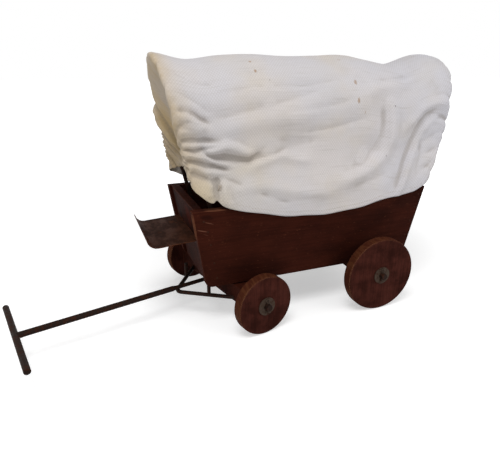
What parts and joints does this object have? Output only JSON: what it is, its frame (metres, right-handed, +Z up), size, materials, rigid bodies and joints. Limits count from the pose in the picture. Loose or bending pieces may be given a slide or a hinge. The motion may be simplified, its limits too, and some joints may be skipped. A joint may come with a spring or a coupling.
{
  "type": "toy covered wagon",
  "caption": "Child's pull wagon: flared wooden box on solid disc wheels with a steered front axle, iron drawbar with T handle, and a cotton cover over iron bows.",
  "frame": {"origin": "on the ground, in the middle of the bounding box of the wagon at rest", "axes": "the box points along -X and its drawbar is turned 12.4 degrees towards -Y; -Y is the left side, +Z is up"},
  "size_m": [0.8946, 0.3664, 0.4898],
  "materials": {
    "painted_wood": "red-brown paint, worn matt",
    "wheel_wood": "red-brown paint, worn to bare wood at the rims",
    "iron": "dark, lightly rusted",
    "sheet_iron": "red-brown paint, scuffed",
    "cotton": "unbleached plain weave"
  },
  "bodies": {
    "wagon_box": {"bow_front": "iron", "bow_mid_front": "iron", "bow_mid_rear": "iron", "bow_rear": "iron", "canvas_cover": "cotton", "floor_board": "painted_wood", "footboard": "sheet_iron", "front_panel": "painted_wood", "king_bolt": "iron", "rear_axle": "iron", "rear_axle_block": "painted_wood", "rear_panel": "painted_wood", "rear_split_pin_left": "iron", "rear_split_pin_right": "iron", "rear_washer_inner_left": "iron", "rear_washer_inner_right": "iron", "rear_washer_outer_left": "iron", "rear_washer_outer_right": "iron", "side_board_left": "painted_wood", "side_board_right": "painted_wood", "turn_plate": "iron"},
    "front_gear": {"drawbar_handle": "iron", "drawbar_shaft": "iron", "front_axle": "iron", "front_axle_block": "painted_wood", "front_split_pin_left": "iron", "front_split_pin_right": "iron", "front_washer_inner_left": "iron", "front_washer_inner_right": "iron", "front_washer_outer_left": "iron", "front_washer_outer_right": "iron", "yoke": "iron", "yoke_peg_left": "iron", "yoke_peg_right": "iron"},
    "wheel_front_left": {"wheel_front_left": "wheel_wood"},
    "wheel_front_right": {"wheel_front_right": "wheel_wood"},
    "wheel_rear_left": {"wheel_rear_left": "wheel_wood"},
    "wheel_rear_right": {"wheel_rear_right": "wheel_wood"}
  },
  "joints": [
    {"name": "steering", "type": "hinge", "parent": "wagon_box", "child": "front_gear", "pos_m": [-0.02352, 0.01473, 0.082], "axis": [0, 0, 1], "range_deg": [-40.4, 15.6]},
    {"name": "wheel_front_left_spin", "type": "hinge", "parent": "front_gear", "child": "wheel_front_left", "pos_m": [-0.00475, -0.13115, 0.057], "axis": [0.2147, -0.9767, 0], "continuous": true},
    {"name": "wheel_front_right_spin", "type": "hinge", "parent": "front_gear", "child": "wheel_front_right", "pos_m": [-0.06767, 0.15502, 0.057], "axis": [0.2147, -0.9767, 0], "continuous": true},
    {"name": "wheel_rear_left_spin", "type": "hinge", "parent": "wagon_box", "child": "wheel_rear_left", "pos_m": [0.24648, -0.13177, 0.075], "axis": [0, -1, 0], "continuous": true},
    {"name": "wheel_rear_right_spin", "type": "hinge", "parent": "wagon_box", "child": "wheel_rear_right", "pos_m": [0.24648, 0.16123, 0.075], "axis": [0, -1, 0], "continuous": true}
  ]
}
